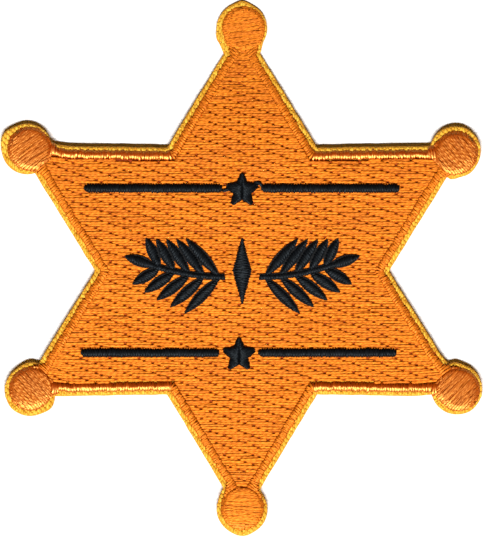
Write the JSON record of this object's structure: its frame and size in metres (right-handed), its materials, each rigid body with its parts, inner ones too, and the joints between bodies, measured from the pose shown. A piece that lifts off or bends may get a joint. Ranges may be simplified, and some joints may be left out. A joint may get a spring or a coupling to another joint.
{
  "type": "embroidered sheriff star patch",
  "caption": "Flat embroidered star patch with round tips, a raised stitched edge, black bars, small stars and laurel sprays, to be sewn or bonded to cloth.",
  "frame": {"origin": "middle of the star, on the level of its side notches, on the back face of the cloth", "axes": "+Y towards the upper tip, +X to the right as the worn side is looked at, +Z out of the worn side"},
  "size_m": [0.0798, 0.0886, 0.0019],
  "materials": {
    "twill": "gold polyester twill with a bonded back, cut edge",
    "orange_thread": "glossy orange embroidery thread, filled, satin and domed stitching",
    "black_thread": "glossy black embroidery thread in satin stitch"
  },
  "bodies": {
    "root": {"ground_cloth": "twill", "field_fill": "orange_thread", "edge_satin_right": "orange_thread", "edge_satin_upper_right": "orange_thread", "edge_satin_upper_left": "orange_thread", "edge_satin_left": "orange_thread", "edge_satin_lower_left": "orange_thread", "edge_satin_lower_right": "orange_thread", "tip_dome_lower_right": "orange_thread", "tip_dome_upper_right": "orange_thread", "tip_dome_top": "orange_thread", "tip_dome_upper_left": "orange_thread", "tip_dome_lower_left": "orange_thread", "tip_dome_bottom": "orange_thread", "bar_upper_left": "black_thread", "bar_upper_right": "black_thread", "bar_lower_left": "black_thread", "bar_lower_right": "black_thread", "small_star_upper": "black_thread", "small_star_lower": "black_thread", "laurel_left": "black_thread", "laurel_right": "black_thread", "lozenge": "black_thread"}
  },
  "joints": []
}
